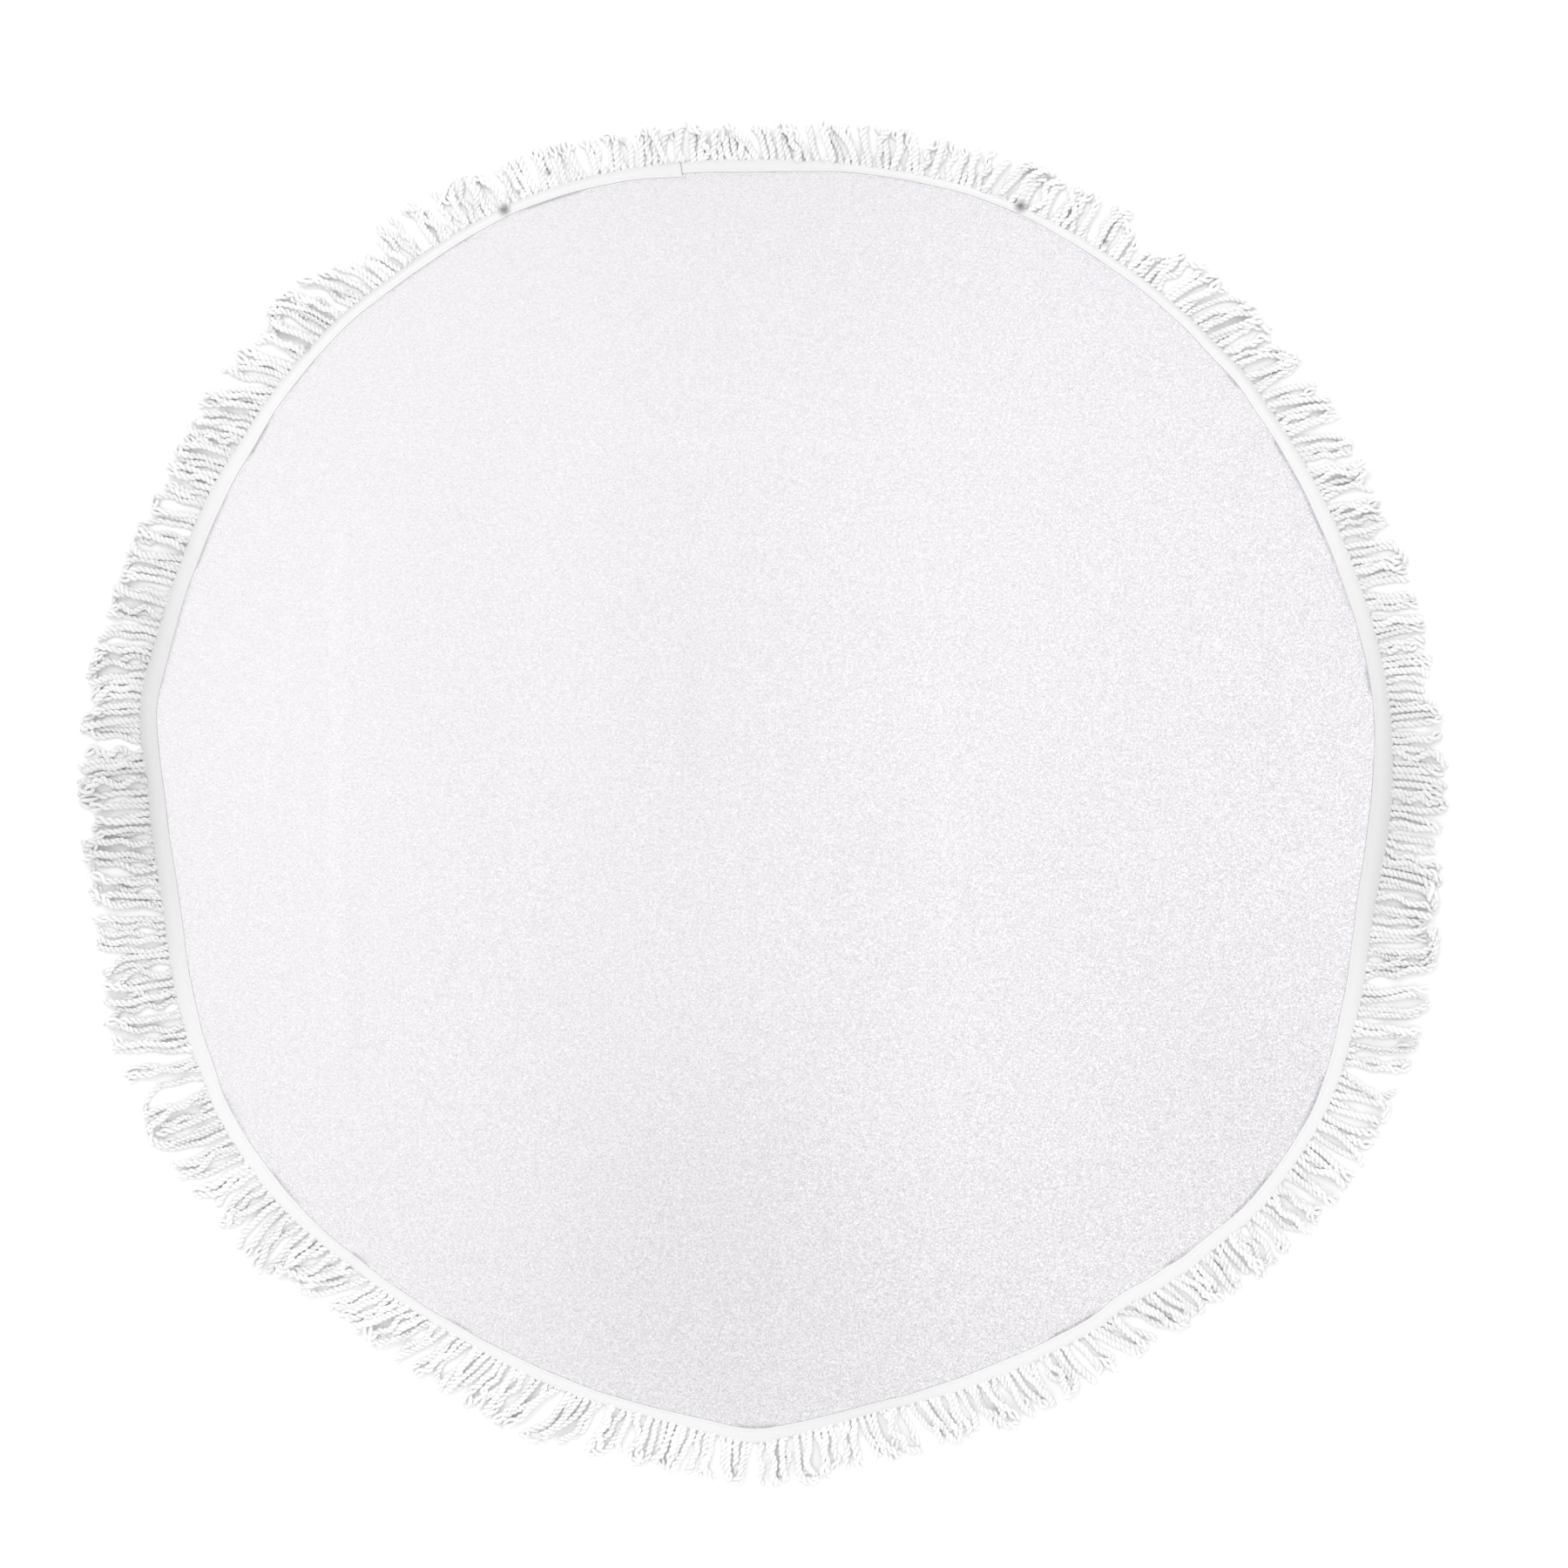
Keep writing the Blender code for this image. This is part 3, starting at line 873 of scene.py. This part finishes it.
def lay_cords(rng):
    """Plan of every cord: its bearing, its stations' places on the floor, its sideways direction
    there, and its length.

    A cord's heading is its bearing plus its lean and the pull towards the middle of its bunch,
    which both grow along it, a bow, a slow wave, and a curl towards its end. The heading is summed
    along the cord, whose length is what brings its furthest point to the tips' reach."""
    pitch = 360.0 / CORD_COUNT
    order = np.arange(CORD_COUNT)
    uneven = rng.normal(0, ROOT_SPREAD, CORD_COUNT)
    bearing = np.mod(JOIN_BEARING + pitch * (order + 0.5) + uneven, 360)
    roots = rim_reach("roots", bearing) - ROOT_DEPTH
    shorter = (LONGEST_BY + SHORTEST_BY) * rng.uniform(0, 1, CORD_COUNT) ** SHORT_ONES_FEWER
    tips = rim_reach("tips", bearing) + LONGEST_BY - shorter
    for notch in NOTCHES:
        tips = tips - 0.001 * notch.depth * bump_at(bearing, notch.bearing, notch.half_width)
    lean = read_rows(COMBED, "lean", bearing)
    up_or_down = np.abs(np.sin(np.radians(bearing)))
    tangle = TANGLE_AT_SIDES + TANGLE_RISE * ease(up_or_down, SIDES_END, TANGLE_FULL)
    lean += rng.normal(0, LEAN_SPREAD, CORD_COUNT) * tangle
    bow = rng.normal(0, BOW_SPREAD, CORD_COUNT) * tangle
    wave = rng.normal(0, WAVE_SPREAD, CORD_COUNT)
    phase = rng.uniform(0, 2 * math.pi, CORD_COUNT)
    waves = rng.uniform(FEWEST_WAVES, MOST_WAVES, CORD_COUNT)
    curl = rng.normal(0, CURL_SPREAD, CORD_COUNT) * tangle
    strong = rng.uniform(0, 1, CORD_COUNT) < STRONG_CURL_SHARE
    curl += np.where(strong, rng.normal(0, STRONG_CURL_SPREAD, CORD_COUNT), 0)
    for place in CURLS:
        share = bump_at(bearing, place.bearing, place.half_width) ** 0.5
        curl += share * place.turn * rng.uniform(LEAST_CURL, MOST_CURL, CORD_COUNT)

    bunch_ends = np.cumsum(rng.integers(SMALLEST_BUNCH, LARGEST_BUNCH + 1, CORD_COUNT))
    bunch = np.searchsorted(bunch_ends, order, side="right")
    middle = np.bincount(bunch, weights=order) / np.bincount(bunch)
    pull = rng.uniform(0.0, MOST_GATHERED, len(middle))[bunch]
    spacing = np.radians(pitch) * roots / (tips - roots)
    gather = np.degrees(pull * (middle[bunch] - order) * spacing)

    s = np.linspace(0, 1, CORD_STATIONS)[None, :]
    heading = np.radians(
        bearing[:, None] + lean[:, None] * (LEAN_AT_ROOT + LEAN_RISE * s)
        + gather[:, None] * (GATHERED_AT_ROOT + GATHERED_RISE * s)
        + bow[:, None] * (s - 0.5) + curl[:, None] * ease(s, CURL_START, 1.0)
        + wave[:, None] * np.sin(2 * math.pi * waves[:, None] * s + phase[:, None])
    )
    steps = np.stack([np.cos(heading), np.sin(heading)], -1) / (CORD_STATIONS - 1)
    run = np.concatenate([np.zeros((CORD_COUNT, 1, 2)), np.cumsum(steps[:, 1:], axis=1)], axis=1)
    outward = np.stack([np.cos(np.radians(bearing)), np.sin(np.radians(bearing))], -1)[:, None, :]
    furthest = (run * outward).sum(-1).max(axis=1)
    length = (tips - roots) / furthest
    plan = roots[:, None, None] * outward + length[:, None, None] * run
    sideways = np.stack([-np.sin(heading), np.cos(heading)], -1)
    return bearing, plan, sideways, length


def stack_cords(plan, rng):
    """Lift of each cord's middle line off its rest height. Every cord has a rank, and where it
    comes within a crossing height of a lower-ranked neighbour it rides over it in a long low hump,
    made by taking the most and then the mean over a few stations either side."""
    rank = rng.permutation(CORD_COUNT)
    free = ease(np.linspace(0, 1, CORD_STATIONS), LIFT_START, LIFT_FULL)[None, :]
    near = []
    for offset in range(1, NEIGHBOURS + 1):
        other = np.roll(np.arange(CORD_COUNT), -offset)
        apart = plan[:, :, None, :] - plan[other][:, None, :, :]
        clear = np.sqrt(np.clip(CROSSING_HEIGHT ** 2 - (apart ** 2).sum(-1), 0, None))
        near.append((other, clear))
    height = np.zeros((CORD_COUNT, CORD_STATIONS))
    for _ in range(STACKING_ROUNDS):
        wanted = np.zeros_like(height)
        for other, clear in near:
            over = np.where(clear > 0, height[:, :, None] + clear, 0).max(axis=1)
            under = np.where(clear > 0, height[other][:, None, :] + clear, 0).max(axis=2)
            above = rank[other] > rank
            wanted[other[above]] = np.maximum(wanted[other[above]], over[above])
            wanted[~above] = np.maximum(wanted[~above], under[~above])
        for spread in (np.max, np.mean):
            padded = np.pad(wanted, ((0, 0), (HUMP_STATIONS, HUMP_STATIONS)), mode="edge")
            slides = [padded[:, k:k + CORD_STATIONS] for k in range(2 * HUMP_STATIONS + 1)]
            wanted = spread(slides, axis=0)
        height = free * np.minimum(wanted, HIGHEST_LIFT)
    return height


def twist_plies(plan, sideways, height, length, rng):
    """Both plies of every cord, as rings of points, and how low each point is in its cord, from 0
    in the upper part to 1 underneath. A ply's middle winds round the cord's at the twist radius,
    one turn in a twist length; it is slim in the tape, full past it, and blunt at the cut end,
    where the two plies may open apart. All of it is flattened a little."""
    s = np.linspace(0, 1, CORD_STATIONS)[None, :]
    distance = length[:, None] * s
    full = ROOT_SLIMNESS + (1 - ROOT_SLIMNESS) * ease(distance, 0.0, ROOT_SWELL)
    into_end = (1 - (length[:, None] - distance) / BLUNT_LENGTH).clip(0)
    blunt = np.sqrt(np.clip(1 - into_end ** 2, BLUNT_LEAST, 1))
    open_end = rng.uniform(0, 1, CORD_COUNT)[:, None] ** OPEN_ONES_FEWER
    loose = open_end * ease(s, OPENING_START, 1.0)
    wound = np.cumsum(1 - UNWINDING * loose, axis=1) * length[:, None] / (CORD_STATIONS - 1)
    opening = 1 + OPENING * loose
    thick = rng.normal(1.0, THICKNESS_SPREAD, CORD_COUNT)[:, None]
    middle = np.concatenate([plan, (height + REST_HEIGHT * full * thick)[..., None]], axis=-1)
    side = np.concatenate([sideways, np.zeros((*height.shape, 1))], axis=-1)
    up = np.array([0.0, 0.0, FLATTENED])
    start = rng.uniform(0, 2 * math.pi, CORD_COUNT)[:, None]
    tightness = rng.normal(1.0, TIGHTNESS_SPREAD, CORD_COUNT)[:, None]
    around = np.linspace(0, 2 * math.pi, PLY_SIDES, endpoint=False)[:, None]
    plies = []
    for half_turn in (0, math.pi):
        angle = start + 2 * math.pi * tightness * wound / TWIST_LENGTH + half_turn
        offset = (np.cos(angle) * opening)[..., None] * side + np.sin(angle)[..., None] * up
        path = middle + (TWIST_RADIUS * full * thick)[..., None] * offset
        along = np.gradient(path, axis=1)
        along /= np.linalg.norm(along, axis=-1, keepdims=True)
        outward = offset - (offset * along).sum(-1, keepdims=True) * along
        outward /= np.linalg.norm(outward, axis=-1, keepdims=True)
        across = np.cross(outward, along)
        ring = np.cos(around) * outward[:, :, None, :] + np.sin(around) * across[:, :, None, :]
        radius = (PLY_RADIUS * full * thick * blunt)[..., None, None]
        plies.append(path[:, :, None, :] + radius * ring * (1, 1, FLATTENED))
    points = np.stack(plies, axis=1)
    above_middle = (points[..., 2] - middle[:, None, :, None, 2]) / REST_HEIGHT
    points[..., 2] = np.maximum(points[..., 2], 0.0)
    return points, 1 - ease(above_middle, UNDERSIDE, UPPER_PART)


def make_cords(name, points, shade, low, length):
    """One mesh of several cords: each ply a tube of rings with a flat cap at both ends."""
    grid = points.shape[:-1]
    cords, plies, stations, sides = grid
    quads, caps = tube_faces(cords * plies, stations, sides)
    piece = mesh_piece(name, points.reshape(-1, 3), quads, caps)
    spotted = spot_shade(points[..., 0], points[..., 1])
    keep_numbers(piece, "shade", shade[:, None, :, None] * spotted)
    keep_numbers(piece, "low", low)
    along = length[:, None, None, None] * np.linspace(0, 1, stations)[None, None, :, None]
    along = np.broadcast_to(along, grid).ravel()
    girth = 2 * math.pi * PLY_RADIUS
    around = np.broadcast_to(girth * np.arange(sides) / sides, grid).ravel()
    add_surface_map(piece, along, around, girth)
    return piece


# Painted shade in the crevices between the cords, where 1 is as dark as the crevice colour, read
# evenly between rows. It clears up along the cords, and where it is strong the roots are painted a
# little darker too.
CreviceShading = namedtuple("CreviceShading", "bearing share")
CREVICE_SHADING = (
    CreviceShading(0, 1.2), CreviceShading(20, 1.0), CreviceShading(40, 1.0), CreviceShading(55, 0.3), CreviceShading(70, 0.3), CreviceShading(80, 0.6),
    CreviceShading(95, 0.3), CreviceShading(120, 0.2), CreviceShading(135, 0.9), CreviceShading(165, 1.2), CreviceShading(185, 1.2),
    CreviceShading(200, 0.4), CreviceShading(220, 0.5), CreviceShading(232, 0.0), CreviceShading(250, 0.0), CreviceShading(290, 0.0),
    CreviceShading(305, 0.2), CreviceShading(320, 0.7), CreviceShading(340, 0.4),
)
ROOT_DARKER = 0.09
CREVICE_SHADE_AT_ROOT = 1.1
CREVICE_SHADE_LOST = 0.7
CREVICE_SHADE_FADE_START = 0.2
CREVICE_SHADE_FADE_END = 0.9

CORD_SHADE = (0.88, 0.88, 0.88)
CORD_LIGHT = (0.945, 0.945, 0.945)
# The colour that the cords' painted crevice shade goes to
CORD_CREVICE = (0.45, 0.45, 0.45)
SHADE_SPREAD = 0.04
FIBRE_PERIOD = 0.0007


def cord_finish():
    """Soft white cotton yarn: fibres that wind round each ply, over a fluffy surface. In patches the
    cords are painted darker low down, as painted shade, so the crevices between them look dark there."""
    material, tree, shader = cotton_finish("cord", roughness=0.9, sheen=0.5)
    shader.inputs["Subsurface Weight"].default_value = 0.35
    shader.inputs["Subsurface Radius"].default_value = (1, 1, 1)
    shader.inputs["Subsurface Scale"].default_value = 0.0015
    surface = add_node(tree, "ShaderNodeUVMap", uv_map="surface").outputs["UV"]
    place = add_node(tree, "ShaderNodeTexCoord").outputs["Object"]
    fibres = add_node(tree, "ShaderNodeTexWave", {"Vector": surface}, bands_direction="DIAGONAL",
                      Scale=WAVE_TURN / FIBRE_PERIOD, Distortion=2.0)
    fluff = add_node(tree, "ShaderNodeTexNoise", {"Vector": place}, Scale=1100.0, Detail=4.0)
    patches = add_node(tree, "ShaderNodeTexNoise", {"Vector": place}, Scale=60.0, Detail=2.0)
    yarn = two_tone(tree, patches.outputs["Fac"], CORD_SHADE, CORD_LIGHT, start=0.3, end=0.6)
    shade = add_node(tree, "ShaderNodeAttribute", attribute_name="shade").outputs["Fac"]
    colour = times(tree, yarn, shade)
    deep = add_node(tree, "ShaderNodeTexNoise", {"Vector": place}, Scale=45.0, Detail=2.0)
    deep_here = two_tone(tree, deep.outputs["Fac"], (0, 0, 0), (1, 1, 1), start=0.46, end=0.62)
    low = add_node(tree, "ShaderNodeAttribute", attribute_name="low").outputs["Fac"]
    crevice = add_node(tree, "ShaderNodeMath", {0: low, 1: deep_here}, operation="MULTIPLY")
    darker = two_tone(tree, crevice.outputs[0], (1, 1, 1), CORD_CREVICE)
    colour = times(tree, colour, darker)
    tree.links.new(colour, shader.inputs["Base Color"])
    height = add_node(tree, "ShaderNodeMath", {0: fibres.outputs["Fac"], 1: fluff.outputs["Fac"]},
                      operation="ADD")
    relief = add_node(tree, "ShaderNodeBump", {"Height": height.outputs[0]},
                      Strength=0.5, Distance=0.0003)
    tree.links.new(relief.outputs["Normal"], shader.inputs["Normal"])
    return material


rng = np.random.default_rng(LAY_SEED)
cord_bearing, plan, sideways, cord_length = lay_cords(rng)
height = stack_cords(plan, rng)
cord_points, cord_low = twist_plies(plan, sideways, height, cord_length, rng)
# Painted shade on the cords: darker in the shaded stretches, at their roots and in their crevices low
# down
shade_in_crevices = read_rows(CREVICE_SHADING, "share", cord_bearing)[:, None]
along_cord = np.linspace(0, 1, CORD_STATIONS)
cord_shade = stretch_shade("cords", cord_bearing) * (1 - SHADE_SPREAD * rng.uniform(0, 1, CORD_COUNT))
cord_shade = cord_shade[:, None] * (1 - ROOT_DARKER * shade_in_crevices * (1 - along_cord) ** 3)
clearing = ease(along_cord, CREVICE_SHADE_FADE_START, CREVICE_SHADE_FADE_END)
crevice_share = shade_in_crevices * (CREVICE_SHADE_AT_ROOT - CREVICE_SHADE_LOST * clearing)
cord_low *= crevice_share[:, None, :, None]
cotton_cord = cord_finish()
for section, cords in enumerate(np.array_split(np.arange(CORD_COUNT), 4)):
    piece = make_cords(f"fringe_cords_{section + 1}", cord_points[cords], cord_shade[cords],
                       cord_low[cords], cord_length[cords])
    piece.data.materials.append(cotton_cord)
    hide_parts("fringe")
    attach(piece, "root")

# The panel was cut flat, so its cut size is its outline with what the tape hides
cut_bearing = np.radians(np.arange(0, 360, 0.5))
cut_reach = rim_reach("cloth", np.degrees(cut_bearing)) + SEAM_LAP


# The floor, the light and the camera: a white studio floor under an even overhead light with a
# soft key from the upper left, and a long lens looking straight down.
FLOOR_WIDTH = 12.0
FLOOR_DEPTH = 0.0002
floor_corners = FLOOR_WIDTH / 2 * np.array([(-1, -1, 0), (1, -1, 0), (1, 1, 0), (-1, 1, 0)])
floor = mesh_piece("floor", floor_corners - (0, 0, FLOOR_DEPTH), np.array([[0, 1, 2, 3]]))
floor_paint = bpy.data.materials.new("floor")
floor_paint.use_nodes = True
floor_shader = floor_paint.node_tree.nodes["Principled BSDF"]
floor_shader.inputs["Base Color"].default_value = (0.96, 0.96, 0.96, 1)
floor_shader.inputs["Roughness"].default_value = 1.0
floor_shader.inputs["Specular IOR Level"].default_value = 0.0
floor.data.materials.append(floor_paint)

world = bpy.data.worlds.new("studio")
bpy.context.scene.world = world
world.use_nodes = True
world.node_tree.nodes["Background"].inputs["Color"].default_value = (1, 1, 1, 1)
world.node_tree.nodes["Background"].inputs["Strength"].default_value = 1.10

KEY_PLACE = (-1.6, 3.4, 5.0)
key_light = bpy.data.lights.new("key", "AREA")
key_light.size = 2.2
key_light.energy = 63.0
key = bpy.data.objects.new("key", key_light)
key.location = KEY_PLACE
key.rotation_euler = (
    -math.acos(KEY_PLACE[2] / math.hypot(*KEY_PLACE)), 0, math.atan2(-KEY_PLACE[0], KEY_PLACE[1])
)
bpy.context.collection.objects.link(key)

PIXEL = 0.000954
PHOTO_SIZE = 1800
TOWEL_MIDDLE = (876, 921)
LENS = 85.0
SENSOR = 36.0
camera_lens = bpy.data.cameras.new("camera")
camera_lens.lens = LENS
camera_lens.sensor_width = SENSOR
camera = bpy.data.objects.new("camera", camera_lens)
camera.location = (
    PIXEL * (PHOTO_SIZE / 2 - TOWEL_MIDDLE[0]),
    PIXEL * (TOWEL_MIDDLE[1] - PHOTO_SIZE / 2),
    PIXEL * PHOTO_SIZE * LENS / SENSOR,
)
bpy.context.collection.objects.link(camera)
bpy.context.scene.camera = camera
bpy.context.scene.view_settings.view_transform = "Standard"
